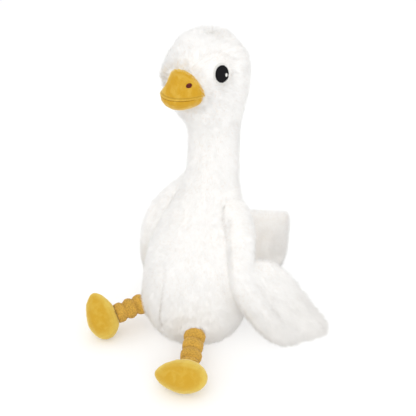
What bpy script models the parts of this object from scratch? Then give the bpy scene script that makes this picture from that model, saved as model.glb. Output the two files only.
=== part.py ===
"""Plush goose, sitting: a long-necked white body with two hanging wings, an upturned tail,
a velvet bill, embroidered eyes, gathered corduroy legs and egg-shaped velvet feet.

Metres, +Z up. The goose faces -Y and its left side is +X. The origin is the middle of the
flat seat, on the floor.
"""

import math

import bmesh
import bpy
from mathutils import Matrix, Vector
from mathutils.bvhtree import BVHTree

# Gap kept between a sewn-on piece and what carries it
SEAM_GAP = 0.0003

# Body: torso, neck and head are one sewn and stuffed skin
TORSO_HEIGHT = 0.150
BELLY_RADIUS = 0.065
NECK_LENGTH = 0.106
NECK_RADIUS = 0.0285
NECK_SET_BACK = 0.030
HEAD_HEIGHT = 0.102
HEAD_HALF_WIDTH = 0.046
HEAD_HALF_LENGTH = 0.048
HEAD_SET_BACK = 0.0175
HEAD_TURN_DEG = 8.4
BODY_SEGMENTS = 20

# Bill: the mouth's share of the head's height, and distances forward of the head's middle
MOUTH_UP_HEAD = 0.4755
BILL_MIDDLE_FORWARD = 0.034
UPPER_BILL_HALF_WIDTH = 0.0255
UPPER_BILL_LENGTH = 0.0338
UPPER_BILL_DEPTH = 0.0265
UPPER_BILL_SLOPE = 0.19
LOWER_BILL_HALF_WIDTH = 0.0235
LOWER_BILL_LENGTH = 0.0340
LOWER_BILL_DEPTH = 0.0155
LOWER_BILL_DIP = 0.25
NOSTRIL_LENGTH = 0.0066
NOSTRIL_HEIGHT = 0.0048
NOSTRIL_RISE_DEG = 30.5
NOSTRIL_TURN_DEG = 40.0
STITCH_THICKNESS = 0.0012

# Eyes: embroidered ovals, a pupil on a white ground with a small light
EYE_UP_HEAD = 0.696
EYE_TURN_DEG = 54.0
EYE_LEAN_DEG = 10.0
EYE_WHITE_WIDTH = 0.0200
EYE_WHITE_HEIGHT = 0.0240
PUPIL_WIDTH = 0.0152
PUPIL_HEIGHT = 0.0190
EYE_LIGHT_WIDTH = 0.0030
EYE_LIGHT_HEIGHT = 0.0042

# Wings: the shoulder's rise is above the torso, the flare is beyond the torso's side
SHOULDER_RISE = 0.036
WING_SWEEP = 0.091
WING_FLARE = 0.082
WING_ARM_THICKNESS = 0.024
WING_BLADE_THICKNESS = 0.018
WING_SEGMENTS = 12

# Tail
TAIL_ROOT_HEIGHT = 0.023
TAIL_REACH = 0.045
TAIL_RISE = 0.082
TAIL_ROOT_WIDTH = 0.080
TAIL_END_WIDTH = 0.093
TAIL_THICKNESS = 0.022
TAIL_TWIST_DEG = 24.0
TAIL_ROLL_DEG = 11.0

# Legs: a corduroy tube gathered into rings
HIP_HEIGHT = 0.030
HIP_TURN_DEG = 42.0
LEFT_LEG_LENGTH = 0.0415
LEFT_LEG_TURN_DEG = 32.0
LEFT_LEG_DROP_DEG = 13.0
RIGHT_LEG_LENGTH = 0.0350
RIGHT_LEG_TURN_DEG = -21.0
RIGHT_LEG_DROP_DEG = 8.0
LEG_RADIUS = 0.0122
LEG_TIE_RADIUS = 0.0092
LEG_RING_PITCH = 0.0127
LEG_SEGMENTS = 16

# Feet: stuffed velvet eggs, the toe at the narrow end, rolled towards the goose's right
FOOT_LENGTH = 0.057
FOOT_RADIUS = 0.0180
FOOT_TOE_SHARPNESS = 0.34
FOOT_OFF_LEG = 0.006
LEFT_FOOT_ROLL_DEG = 92.0
RIGHT_FOOT_ROLL_DEG = 35.0
FOOT_SEGMENTS = 20

# Rows are (share of the region's height, share of its radius, share of its set-back)
TORSO_ROWS = (
    (0.00, 0.30, 0.00),
    (0.00, 0.68, 0.00),
    (0.03, 0.81, 0.00),
    (0.10, 0.93, -0.03),
    (0.25, 1.00, -0.06),
    (0.50, 0.98, 0.00),
    (0.70, 0.91, 0.13),
    (0.87, 0.79, 0.37),
    (1.00, 0.66, 0.57),
)
NECK_ROWS = (
    (0.15, 1.26, 0.75),
    (0.32, 1.08, 0.88),
    (0.57, 1.01, 0.96),
    (0.83, 1.00, 1.00),
)
HEAD_ROWS = (
    (0.00, 0.64, 0.93),
    (0.11, 0.77, 0.46),
    (0.28, 0.91, 0.13),
    (0.47, 0.99, 0.00),
    (0.64, 1.00, 0.00),
    (0.81, 0.89, 0.20),
    (0.92, 0.66, 0.50),
    (0.985, 0.34, 0.70),
)

# Rows are (share of the shoulder's height, leading edge's share of the sweep and of the flare,
#           trailing edge's share of the sweep and of the flare, share of the thickness)
WING_ARM_ROWS = (
    (1.00, 0.13, -0.12, 0.37, -0.12, 0.55),
    (0.94, 0.04, 0.07, 0.40, 0.06, 0.95),
    (0.77, -0.16, 0.21, 0.37, 0.15, 1.10),
    (0.60, -0.21, 0.17, 0.19, 0.09, 0.95),
    (0.46, -0.19, 0.15, 0.16, 0.17, 1.00),
    (0.32, -0.07, 0.20, 0.27, 0.34, 1.08),
    (0.20, 0.04, 0.29, 0.45, 0.50, 1.08),
    (0.11, 0.15, 0.45, 0.59, 0.70, 1.00),
    (0.05, 0.31, 0.65, 0.60, 0.83, 0.60),
)
WING_BLADE_ROWS = (
    (0.65, 0.02, 0.09, 0.36, 0.24, 0.50),
    (0.58, -0.04, 0.11, 0.58, 0.36, 0.90),
    (0.37, 0.07, 0.17, 0.81, 0.48, 1.00),
    (0.22, 0.13, 0.28, 0.92, 0.65, 1.00),
    (0.11, 0.22, 0.44, 1.00, 0.93, 0.95),
    (0.05, 0.35, 0.67, 0.90, 1.00, 0.55),
)
# Rows are (share of the reach, share of the rise, share from root to end width, share of the
#           thickness)
TAIL_ROWS = (
    (-0.30, -0.03, 0.30, 0.90),
    (0.35, -0.02, 0.65, 0.95),
    (0.84, 0.05, 0.92, 1.00),
    (1.04, 0.24, 1.00, 1.00),
    (1.06, 0.52, 1.00, 1.00),
    (1.05, 0.76, 1.00, 0.95),
    (1.01, 0.94, 1.00, 0.80),
    (0.99, 1.00, 0.94, 0.50),
)

THROAT_HEIGHT = TORSO_HEIGHT + NECK_LENGTH
CROWN_HEIGHT = THROAT_HEIGHT + HEAD_HEIGHT
MOUTH_HEIGHT = THROAT_HEIGHT + MOUTH_UP_HEAD * HEAD_HEIGHT
EYE_HEIGHT = THROAT_HEIGHT + EYE_UP_HEAD * HEAD_HEIGHT
SHOULDER_HEIGHT = TORSO_HEIGHT + SHOULDER_RISE
LEFT, RIGHT = 1, -1


def clear_objects():
    for old in list(bpy.data.objects):
        bpy.data.objects.remove(old, do_unlink=True)


def fabric(name, colour, roughness, sheen=0.0):
    """A cloth finish; colour is linear red, green and blue."""
    material = bpy.data.materials.new(name)
    material.use_nodes = True
    shader = material.node_tree.nodes["Principled BSDF"]
    shader.inputs["Base Color"].default_value = (*colour, 1.0)
    shader.inputs["Roughness"].default_value = roughness
    shader.inputs["Metallic"].default_value = 0.0
    shader.inputs["Sheen Weight"].default_value = sheen
    material.diffuse_color = (*colour, 1.0)
    return material


def face_outward(shape):
    bmesh.ops.recalc_face_normals(shape, faces=shape.faces)
    if shape.calc_volume(signed=True) < 0:
        bmesh.ops.reverse_faces(shape, faces=shape.faces)
    shape.normal_update()


def add_object(name, shape, material=None):
    """Writes a bmesh to a new smooth-shaded object and frees it."""
    face_outward(shape)
    mesh = bpy.data.meshes.new(name)
    shape.to_mesh(mesh)
    shape.free()
    if material:
        mesh.materials.append(material)
    mesh.shade_smooth()
    obj = bpy.data.objects.new(name, mesh)
    bpy.context.scene.collection.objects.link(obj)
    return obj


def add_empty(name, place, turn_deg=0.0):
    empty = bpy.data.objects.new(name, None)
    empty.matrix_world = Matrix.Translation(place) @ Matrix.Rotation(math.radians(turn_deg), 4, "Z")
    bpy.context.scene.collection.objects.link(empty)
    return empty


def guide(obj):
    """Marks an object as a cutter or a guide, which isn't a piece of the goose."""
    obj.hide_render = True
    obj.display_type = "WIRE"
    return obj


def subdivide(obj, levels=1):
    modifier = obj.modifiers.new("rounding", "SUBSURF")
    modifier.levels = levels
    modifier.render_levels = levels


def combine(obj, other, operation):
    modifier = obj.modifiers.new(other.name, "BOOLEAN")
    modifier.object = other
    modifier.operation = operation
    modifier.solver = "EXACT"


def evaluated(obj):
    """The object's finished mesh in world space, as a bmesh."""
    bpy.context.view_layer.update()
    source = obj.evaluated_get(bpy.context.evaluated_depsgraph_get())
    shape = bmesh.new()
    shape.from_mesh(source.to_mesh())
    shape.transform(obj.matrix_world)
    source.to_mesh_clear()
    return shape


def swollen_copy(obj, gap=SEAM_GAP):
    """A guide in the finished shape of a piece, grown all over by the gap."""
    shape = evaluated(obj)
    face_outward(shape)
    moves = [vert.normal * gap for vert in shape.verts]
    for vert, move in zip(shape.verts, moves):
        vert.co += move
    return guide(add_object(obj.name + "_room", shape))


def outside_point(obj, middle, direction):
    """The outermost place of a piece in a direction from a middle, with its normal there."""
    shape = evaluated(obj)
    inward = -Vector(direction).normalized()
    tree = BVHTree.FromBMesh(shape)
    place, normal, _, _ = tree.ray_cast(Vector(middle) - inward * CROWN_HEIGHT, inward)
    shape.free()
    return place, normal


def lowest_point(obj):
    shape = evaluated(obj)
    low = min(vert.co.z for vert in shape.verts)
    shape.free()
    return low


def oval_frame(centre, half_long, half_short):
    """The transform that turns a unit circle into an oval with those half axes."""
    across = half_long.cross(half_short).normalized()
    frame = Matrix((half_long, half_short, across)).transposed().to_4x4()
    frame.translation = centre
    return frame


def skin_ovals(frames, segments):
    """A closed skin over a row of ovals, extruded from each to the next."""
    shape = bmesh.new()
    ring = bmesh.ops.create_circle(shape, radius=1.0, segments=segments)["verts"]
    bmesh.ops.transform(shape, matrix=frames[0], verts=ring)
    bmesh.ops.contextual_create(shape, geom=ring)
    last_edges = list(shape.edges)
    for before, after in zip(frames, frames[1:]):
        grown = bmesh.ops.extrude_edge_only(shape, edges=last_edges)["geom"]
        ring = [item for item in grown if isinstance(item, bmesh.types.BMVert)]
        last_edges = [item for item in grown if isinstance(item, bmesh.types.BMEdge)]
        bmesh.ops.transform(shape, matrix=after @ before.inverted(), verts=ring)
    bmesh.ops.contextual_create(shape, geom=last_edges)
    return shape


def body_sections():
    """(height, half width, half depth, set-back) of each section, from seat to crown."""
    sections = [
        (share * TORSO_HEIGHT, size * BELLY_RADIUS, size * BELLY_RADIUS, back * NECK_SET_BACK)
        for share, size, back in TORSO_ROWS
    ]
    sections += [
        (TORSO_HEIGHT + share * NECK_LENGTH, size * NECK_RADIUS, size * NECK_RADIUS, back * NECK_SET_BACK)
        for share, size, back in NECK_ROWS
    ]
    spare = NECK_SET_BACK - HEAD_SET_BACK
    sections += [
        (
            THROAT_HEIGHT + share * HEAD_HEIGHT,
            size * HEAD_HALF_WIDTH,
            size * HEAD_HALF_LENGTH,
            HEAD_SET_BACK + back * spare,
        )
        for share, size, back in HEAD_ROWS
    ]
    return sections


def torso_half_width(height):
    """Half the torso's width at a height, between the sections."""
    sections = body_sections()
    for low, high in zip(sections, sections[1:]):
        if low[0] <= height < high[0]:
            share = (height - low[0]) / (high[0] - low[0])
            return low[1] + share * (high[1] - low[1])
    return 0.0


def make_body(plush):
    frames = [
        oval_frame(Vector((0, back, height)), Vector((half_width, 0, 0)), Vector((0, half_depth, 0)))
        for height, half_width, half_depth, back in body_sections()
    ]
    body = add_object("body", skin_ovals(frames, BODY_SEGMENTS), plush)
    subdivide(body)
    return body


def egg(half_axes, segments=24, rings=14):
    shape = bmesh.new()
    bmesh.ops.create_uvsphere(shape, u_segments=segments, v_segments=rings, radius=1.0)
    bmesh.ops.scale(shape, vec=half_axes, verts=shape.verts)
    return shape


def make_bill(head, body_room, velvet):
    """An upper and a lower bill that meet along the mouth line and seat on the face."""
    bills = []
    for name, half_axes, above in (
        ("upper_bill", (UPPER_BILL_HALF_WIDTH, UPPER_BILL_LENGTH, UPPER_BILL_DEPTH), True),
        ("lower_bill", (LOWER_BILL_HALF_WIDTH, LOWER_BILL_LENGTH, LOWER_BILL_DEPTH), False),
    ):
        shape = egg(half_axes)
        # The upper bill slopes off in front between its top and the mouth; the lower dips in front
        for vert in shape.verts:
            forward = -vert.co.y / half_axes[1]
            up = vert.co.z / half_axes[2]
            if above and forward > 0 and up > 0:
                vert.co.y *= 1 - UPPER_BILL_SLOPE * 4 * up * (1 - up)
            elif not above:
                vert.co.z *= 1 + LOWER_BILL_DIP * forward * (1 if forward > 0 else 2)
        cut = bmesh.ops.bisect_plane(
            shape,
            geom=shape.verts[:] + shape.edges[:] + shape.faces[:],
            plane_co=(0, 0, SEAM_GAP / 2 if above else -SEAM_GAP / 2),
            plane_no=(0, 0, 1),
            clear_inner=above,
            clear_outer=not above,
        )
        rim = [item for item in cut["geom_cut"] if isinstance(item, bmesh.types.BMEdge)]
        bmesh.ops.holes_fill(shape, edges=rim)
        bill = add_object(name, shape, velvet)
        bill.parent = head
        bill.location = (0, -BILL_MIDDLE_FORWARD, MOUTH_HEIGHT)
        combine(bill, body_room, "DIFFERENCE")
        bills.append(bill)
    return bills


def make_patch(name, carrier, middle, direction, width, height, lean_deg, thread, proud):
    """An oval of satin stitch draped over its carrier in a direction from a middle."""
    place, normal = outside_point(carrier, middle, direction)
    side = Vector((0, 0, 1)).cross(normal).normalized()
    frame = Matrix((side, normal.cross(side), normal)).transposed().to_4x4()
    frame.translation = place
    frame = frame @ Matrix.Rotation(math.radians(lean_deg), 4, "Z")

    # Each point of a flat oval goes to the nearest place on the carrier
    shape = egg((width / 2, height / 2, proud), segments=20, rings=8)
    under = evaluated(carrier)
    tree = BVHTree.FromBMesh(under)
    for vert in shape.verts:
        nearest, _, _, _ = tree.find_nearest(frame @ Vector((vert.co.x, vert.co.y, 0)))
        vert.co = nearest + normal * max(vert.co.z, -SEAM_GAP)
    under.free()
    patch = add_object(name, shape, thread)
    combine(patch, swollen_copy(carrier), "DIFFERENCE")
    return patch


def make_nostrils(head, upper_bill, thread):
    middle = head.matrix_world @ Vector((0, -BILL_MIDDLE_FORWARD, MOUTH_HEIGHT))
    rise = math.radians(NOSTRIL_RISE_DEG)
    for side, word in ((LEFT, "left"), (RIGHT, "right")):
        turn = math.radians(HEAD_TURN_DEG + side * NOSTRIL_TURN_DEG)
        direction = (math.sin(turn) * math.cos(rise), -math.cos(turn) * math.cos(rise), math.sin(rise))
        make_patch(
            word + "_nostril", upper_bill, middle, direction,
            NOSTRIL_LENGTH, NOSTRIL_HEIGHT, side * 20.0, thread, STITCH_THICKNESS,
        )


def make_eyes(body, white_thread, black_thread):
    middle = Vector((0, HEAD_SET_BACK, EYE_HEIGHT))
    for side, word in ((LEFT, "left"), (RIGHT, "right")):
        turn = math.radians(HEAD_TURN_DEG + side * EYE_TURN_DEG)
        direction = Vector((math.sin(turn), -math.cos(turn), 0))
        lean = -side * EYE_LEAN_DEG
        white = make_patch(
            word + "_eye_white", body, middle, direction,
            EYE_WHITE_WIDTH, EYE_WHITE_HEIGHT, lean, white_thread, STITCH_THICKNESS,
        )
        pupil = make_patch(
            word + "_pupil", white, middle, direction,
            PUPIL_WIDTH, PUPIL_HEIGHT, lean, black_thread, STITCH_THICKNESS,
        )
        back = side * 0.26 * PUPIL_WIDTH * Vector((math.cos(turn), math.sin(turn), 0))
        down = Vector((0, 0, -0.055 * PUPIL_HEIGHT))
        make_patch(
            word + "_eye_light", pupil, middle + back + down, direction,
            EYE_LIGHT_WIDTH, EYE_LIGHT_HEIGHT, lean, white_thread, STITCH_THICKNESS,
        )


def wing_shape(name, side, rows, thickness):
    """One padded part of a wing, skinned between its leading and trailing edges."""
    edges = []
    for rise, lead_back, lead_out, trail_back, trail_out, share in rows:
        height = rise * SHOULDER_HEIGHT
        flank = torso_half_width(height)
        lead = Vector((side * (flank + lead_out * WING_FLARE), lead_back * WING_SWEEP, height))
        trail = Vector((side * (flank + trail_out * WING_FLARE), trail_back * WING_SWEEP, height))
        edges.append((lead, trail, share * thickness / 2))
    middles = [(lead + trail) / 2 for lead, trail, _ in edges]
    frames = []
    for index, (lead, trail, half_thickness) in enumerate(edges):
        before = middles[max(index - 1, 0)]
        after = middles[min(index + 1, len(middles) - 1)]
        across = (trail - lead) / 2
        outward = across.cross(after - before).normalized()
        frames.append(oval_frame(middles[index], across, outward * half_thickness))
    part = add_object(name, skin_ovals(frames, WING_SEGMENTS))
    subdivide(part)
    return part


def make_wing(side, word, body_room, plush):
    """A rolled arm and a flatter blade behind it, sewn as one, hung from the shoulder."""
    wing = wing_shape(word + "_wing", side, WING_ARM_ROWS, WING_ARM_THICKNESS)
    wing.data.materials.append(plush)
    blade = guide(wing_shape(word + "_wing_blade", side, WING_BLADE_ROWS, WING_BLADE_THICKNESS))
    combine(wing, blade, "UNION")
    drop = Vector((0, 0, -lowest_point(wing)))
    wing.location = drop
    blade.location = drop
    combine(wing, body_room, "DIFFERENCE")
    return wing


def make_tail(body, body_room, plush):
    root, _ = outside_point(body, (0, 0, TAIL_ROOT_HEIGHT), (0, 1, 0))
    path = [
        root + Vector((0, reach * TAIL_REACH, rise * TAIL_RISE))
        for reach, rise, _, _ in TAIL_ROWS
    ]
    frames = []
    for index, (_, _, widen, share) in enumerate(TAIL_ROWS):
        along = path[min(index + 1, len(path) - 1)] - path[max(index - 1, 0)]
        width = TAIL_ROOT_WIDTH + widen * (TAIL_END_WIDTH - TAIL_ROOT_WIDTH)
        twist = Matrix.Rotation(math.radians(widen * TAIL_TWIST_DEG), 3, "Z")
        roll = Matrix.Rotation(math.radians(-widen * TAIL_ROLL_DEG), 3, "Y")
        half_long = twist @ roll @ Vector((width / 2, 0, 0))
        half_short = along.cross(half_long).normalized() * share * TAIL_THICKNESS / 2
        frames.append(oval_frame(path[index], half_long, half_short))
    tail = add_object("tail", skin_ovals(frames, WING_SEGMENTS + 4), plush)
    subdivide(tail)
    combine(tail, body_room, "DIFFERENCE")
    return tail


def spun(profile, segments):
    """A turned solid from (along the axis, radius) points; the axis is +X."""
    shape = bmesh.new()
    points = [shape.verts.new((along, 0, radius)) for along, radius in profile]
    lines = [shape.edges.new(pair) for pair in zip(points, points[1:])]
    bmesh.ops.spin(
        shape, geom=points + lines, cent=(0, 0, 0), axis=(1, 0, 0),
        angle=math.tau, steps=segments, use_merge=True,
    )
    bmesh.ops.remove_doubles(shape, verts=shape.verts, dist=1e-6)
    return shape


def foot_profile(points=14):
    """An egg along +X: round heel at the back, narrow toe in front."""
    profile = []
    for step in range(points + 1):
        angle = math.pi * step / points
        along = -math.cos(angle) * FOOT_LENGTH / 2
        narrowing = 1.0 - FOOT_TOE_SHARPNESS * (along / FOOT_LENGTH + 0.5) ** 2
        radius = math.sin(angle) * FOOT_RADIUS * narrowing * 1.10 if 0 < step < points else 0.0
        profile.append((along, radius))
    return profile


def leg_profile(length, points_per_ring=6):
    """A tube from inside the hip into the foot, tied in at even steps so that it bulges."""
    rings = math.ceil((length + FOOT_RADIUS / 2) / LEG_RING_PITCH)
    profile = [(-LEG_RING_PITCH, 0.0), (-LEG_RING_PITCH, LEG_TIE_RADIUS)]
    for ring in range(rings):
        for step in range(points_per_ring):
            share = step / points_per_ring
            bulge = math.sin(math.pi * share) ** 0.6
            radius = LEG_TIE_RADIUS + (LEG_RADIUS - LEG_TIE_RADIUS) * bulge
            profile.append(((ring + share) * LEG_RING_PITCH, radius))
    end = rings * LEG_RING_PITCH
    profile += [(end, LEG_TIE_RADIUS), (end, 0.0)]
    return profile


def make_leg_and_foot(side, word, length, angles, body, body_room, corduroy, velvet):
    """The leg slopes from the hip to the floor; the foot sits across its end.

    The angles are the leg's turn and drop and the foot's roll, in degrees.
    """
    turn_deg, drop_deg, roll_deg = angles
    hip_turn = math.radians(side * HIP_TURN_DEG)
    hip, _ = outside_point(body, (0, 0, HIP_HEIGHT), (math.sin(hip_turn), -math.cos(hip_turn), 0))
    turn = Matrix.Rotation(math.radians(turn_deg - 90.0), 4, "Z")
    drop = Matrix.Rotation(math.radians(drop_deg), 4, "Y")
    leg_frame = Matrix.Translation(hip) @ turn @ drop

    # The foot's long axis is square to the leg and rolled about it
    reach = length + FOOT_RADIUS
    roll = Matrix.Rotation(math.radians(roll_deg), 4, "X")
    toe_up = Matrix.Rotation(math.radians(-90.0), 4, "Y")
    foot_frame = leg_frame @ Matrix.Translation((reach, 0, 0)) @ roll @ toe_up
    foot = add_object(word + "_foot", spun(foot_profile(), FOOT_SEGMENTS), velvet)
    foot.matrix_world = foot_frame @ Matrix.Translation((FOOT_OFF_LEG, 0, 0))
    foot.location.z -= lowest_point(foot)

    leg = add_object(word + "_leg", spun(leg_profile(length), LEG_SEGMENTS), corduroy)
    leg.matrix_world = leg_frame
    combine(leg, body_room, "DIFFERENCE")
    combine(leg, swollen_copy(foot), "DIFFERENCE")


def main():
    clear_objects()
    plush = fabric("white_plush", (0.94, 0.93, 0.90), 0.95, 0.4)
    velvet = fabric("yellow_velvet", (0.76, 0.46, 0.045), 0.75, 0.5)
    corduroy = fabric("gold_corduroy", (0.65, 0.38, 0.08), 0.9, 0.3)
    white_thread = fabric("white_thread", (0.95, 0.95, 0.95), 0.5)
    black_thread = fabric("black_thread", (0.02, 0.02, 0.022), 0.5)
    maroon_thread = fabric("maroon_thread", (0.10, 0.012, 0.032), 0.6)

    body = make_body(plush)
    body_room = swollen_copy(body)
    head = add_empty("head_frame", (0, HEAD_SET_BACK, 0), HEAD_TURN_DEG)
    bpy.context.view_layer.update()

    upper_bill, _ = make_bill(head, body_room, velvet)
    make_nostrils(head, upper_bill, maroon_thread)
    make_eyes(body, white_thread, black_thread)
    make_wing(LEFT, "left", body_room, plush)
    make_wing(RIGHT, "right", body_room, plush)
    make_tail(body, body_room, plush)
    left_angles = (LEFT_LEG_TURN_DEG, LEFT_LEG_DROP_DEG, LEFT_FOOT_ROLL_DEG)
    right_angles = (RIGHT_LEG_TURN_DEG, RIGHT_LEG_DROP_DEG, RIGHT_FOOT_ROLL_DEG)
    make_leg_and_foot(LEFT, "left", LEFT_LEG_LENGTH, left_angles, body, body_room, corduroy, velvet)
    make_leg_and_foot(RIGHT, "right", RIGHT_LEG_LENGTH, right_angles, body, body_room, corduroy, velvet)


main()
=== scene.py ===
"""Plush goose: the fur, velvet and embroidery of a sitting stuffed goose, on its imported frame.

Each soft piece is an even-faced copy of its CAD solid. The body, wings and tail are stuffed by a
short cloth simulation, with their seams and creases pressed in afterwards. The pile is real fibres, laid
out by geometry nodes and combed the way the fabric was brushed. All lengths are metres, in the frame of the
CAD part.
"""
import math

import bmesh
import bpy
import numpy as np
from bpy.props import FloatProperty, FloatVectorProperty, IntProperty, PointerProperty
from mathutils import Matrix, Vector, noise
from mathutils.bvhtree import BVHTree


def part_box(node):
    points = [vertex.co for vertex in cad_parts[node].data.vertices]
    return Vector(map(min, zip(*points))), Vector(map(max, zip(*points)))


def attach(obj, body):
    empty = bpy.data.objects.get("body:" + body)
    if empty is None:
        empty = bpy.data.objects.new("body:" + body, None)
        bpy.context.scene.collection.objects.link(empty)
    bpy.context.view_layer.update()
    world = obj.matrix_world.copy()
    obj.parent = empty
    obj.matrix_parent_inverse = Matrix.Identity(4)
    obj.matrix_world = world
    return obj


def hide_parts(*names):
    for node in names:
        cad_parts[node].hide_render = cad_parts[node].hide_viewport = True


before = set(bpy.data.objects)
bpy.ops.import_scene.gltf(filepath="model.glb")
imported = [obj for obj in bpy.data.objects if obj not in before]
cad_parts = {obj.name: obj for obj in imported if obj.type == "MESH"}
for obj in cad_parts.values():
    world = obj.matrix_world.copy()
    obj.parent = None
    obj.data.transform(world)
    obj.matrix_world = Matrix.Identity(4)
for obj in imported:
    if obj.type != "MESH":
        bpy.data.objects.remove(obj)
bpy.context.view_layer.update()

bl_info = {
    "name": "Plush Goose",
    "version": (1, 0, 0),
    "blender": (4, 5, 0),
    "location": "View3D > Sidebar > Goose",
    "description": "Pile, velvet and embroidery for a sitting stuffed goose",
    "category": "Add Mesh",
}

MM = 0.001

# The middle of the bill where it leaves the head, the left shoulder, and the middle of the painted shadow
# under the bill, on the chin.
BILL_MIDDLE = (0.006, -0.034, 0.309)
SHOULDER = (0.040, 0.006, 0.180)
CHIN_SHADOW = np.array((-0.003, -0.017, 0.275))

# Sewn lines and folds, as points on the solids in millimetres.
BELLY_SEAM = (
    (-2, -46, 118), (-3, -51, 108), (0.2, -54.4, 100.7), (3.7, -59.4, 83.2),
    (3.7, -62.5, 65.5), (2, -64, 48.5), (0.6, -63.8, 36.2), (0.4, -60, 24),
)
BELLY_FOLD = ((-14, -52, 92), (-12, -57, 78), (-11, -60, 60), (-9.5, -62.5, 45))
BROW_FOLD = (
    (16, -10, 343), (19.5, -7.4, 344.5), (24.7, 0, 345.8),
    (29.5, 7.9, 345.9), (37.2, 14.2, 339.9), (40.5, 22.7, 334.3),
)
NECK_SEAM = ((1.5, 0.8, 246), (1.5, 0.8, 241), (1, 1.2, 229), (0.6, -2, 214))
CHEST_FOLD = ((4, -17, 161), (8.6, -17.3, 159), (14, -16, 156))
CHIN_FOLD = ((10.1, -18.4, 279.1), (12, -12, 270), (13.9, -3.1, 260.5))
FAR_TUFT = ((-22, -21, 310), (-23, -20, 322), (-21, -19, 338))
BILL_TUFT = ((-16, -24, 318), (-13, -25.5, 323.6), (-7, -27, 331))
SHOULDER_TOP = ((29.7, 9.9, 176), (31, 15, 179.5), (32, 22, 180), (33, 28, 178))
ARM_LINE = (
    (36.3, 7.5, 169.4), (39.3, 4.2, 164.4), (42.2, 1, 158.1), (46.7, -2.4, 151.4),
    (48.7, -4.4, 142.9), (53.4, -8.1, 135), (52, -6, 120.9), (53.5, -7.8, 112.6),
    (56.1, -8.8, 103.6), (58.1, -9.3, 94), (60.3, -8.2, 83.5),
)
WING_FOLD = (
    (80, 10, 92), (82.2, 12.4, 84.6), (86.2, 16.7, 77.4),
    (90.9, 20.5, 63.7), (94.9, 23.4, 52.8), (99, 27, 42),
)
WING_TIP_SEAM = ((126.9, 73.1, 23.6), (131, 75, 17), (134.5, 75.9, 11.2))

# The way that the sloping left face of the crown looks, how far out it lies, and how soft its edge is.
CROWN_WAY = (0.4087, 0.6399, 0.6508)
CROWN_REACH = 0.2597
CROWN_EDGE = 2 * MM

# The upright line that the right eye is turned round.
HEAD_MIDDLE = np.array((0, 0.0175, 0))
# The stuffing grid of the wings and the tail, and their pile's density as a share of the body's.
PADDLE_GRID = 0.0032
PADDLE_SHARE = 0.92
# The way over the threads of the eyes.
EYE_ROWS = (0.1, 0.1, 1.0)


def linear(code):
    """The linear colour of an sRGB hex code such as F4F1EA."""
    parts = (int(code[i : i + 2], 16) / 255 for i in (0, 2, 4))
    return tuple(c / 12.92 if c <= 0.04045 else ((c + 0.055) / 1.055) ** 2.4 for c in parts)


def colour(name, description, code):
    """A colour setting that starts as an sRGB hex code."""
    kind = {"subtype": "COLOR", "size": 3, "min": 0, "max": 1}
    return FloatVectorProperty(name=name, description=description, default=linear(code), **kind)


def length(name, description, default):
    """A length setting, in metres."""
    kind = {"unit": "LENGTH", "subtype": "DISTANCE", "min": 0, "precision": 5}
    return FloatProperty(name=name, description=description, default=default, **kind)


class GooseSettings(bpy.types.PropertyGroup):
    """Sizes and colours of the goose"""

    pile_length: length("Pile length", "Length of one fibre of the plush", 0.0066)
    pile_width: length("Pile width", "Width of a fibre at its root, drawn wider than a real one", 0.00044)
    pile_density: FloatProperty(
        name="Pile density", description="Fibres on each square millimetre", min=0.2, max=6, default=3.2
    )
    pile_lean: FloatProperty(
        name="Pile lean",
        description="How far the brushed pile leans from upright",
        subtype="ANGLE",
        unit="ROTATION",
        min=0,
        max=1.4,
        default=math.radians(54),
    )
    pile_seed: IntProperty(name="Pile seed", description="Start of their random placing", default=7)
    backing_voxel: length("Stuffing grid", "Grid at which the body is remeshed before it is stuffed", 0.0045)
    cloth_cap: length("Stuffing cap", "The furthest that stuffing may move the fabric", 0.003)
    eye_depth: length("Eye depth", "How far the stitching pulls the eyes into the pile", 0.0014)
    nap_depth: length("Velvet nap", "Depth of the dents in the velvet", 0.00035)
    stitch_width: length("Stitch width", "Width of one thread of the satin stitch", 0.00045)
    pile_tip: colour("Pile tips", "Plush at the ends of its fibres", "FDFCFA")
    pile_root: colour("Pile roots", "Plush near its backing, where it is in its own shade", "F5F0EA")
    pile_stain: colour("Pile specks", "Faint warm specks in the plush", "F0E5DA")
    # Painted warm shade for the plush round the bill.
    pile_bill_shade: colour("Pile by the bill", "Plush that the bill's gold has rubbed off on", "F1E4CF")
    bill: colour("Bill velvet", "Golden velvet of the bill", "C89823")
    # The brushed-up velvet colours are painted sheen: the lighter colour that the velvet's sheen gives it at
    # its edges.
    bill_sheen: colour("Bill velvet, brushed up", "The same velvet where its nap stands", "E8CB66")
    foot: colour("Foot velvet", "Golden velvet of the feet", "C99D2D")
    foot_sheen: colour("Foot velvet, brushed up", "The same velvet where its nap stands", "DCBF58")
    corduroy: colour("Leg fabric", "Mustard fabric of the legs", "C79B42")
    pupil: colour("Pupil thread", "Charcoal thread", "1C1B1D")
    eye_white: colour("Eye thread", "White thread round the pupil and in the glint", "F4F2EE")
    nostril: colour("Nostril thread", "Maroon thread", "562523")
    floor: colour("Floor", "Plain floor", "F2F2F2")


def settings():
    """The sizes and colours that the steps work with."""
    return bpy.context.scene.goose


# ---------------------------------------------------------------- meshes


def smoothstep(low, high, value):
    """0 at low and 1 at high, with an eased way between; low may be the larger."""
    t = np.clip((value - low) / (high - low), 0, 1)
    return t * t * (3 - 2 * t)


def falloff(far, width, power=2):
    """1 where far is 0, and falling to 0 beyond width."""
    return np.exp(-((far / width) ** power))


def points_of(mesh):
    co = np.empty(len(mesh.vertices) * 3, np.float32)
    mesh.vertices.foreach_get("co", co)
    return co.reshape(-1, 3).astype(float)


def normals_of(mesh):
    n = np.empty(len(mesh.vertices) * 3, np.float32)
    mesh.vertex_normals.foreach_get("vector", n)
    return n.reshape(-1, 3).astype(float)


def put_points(mesh, co):
    mesh.vertices.foreach_set("co", co.astype(np.float32).ravel())
    mesh.update()


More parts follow.
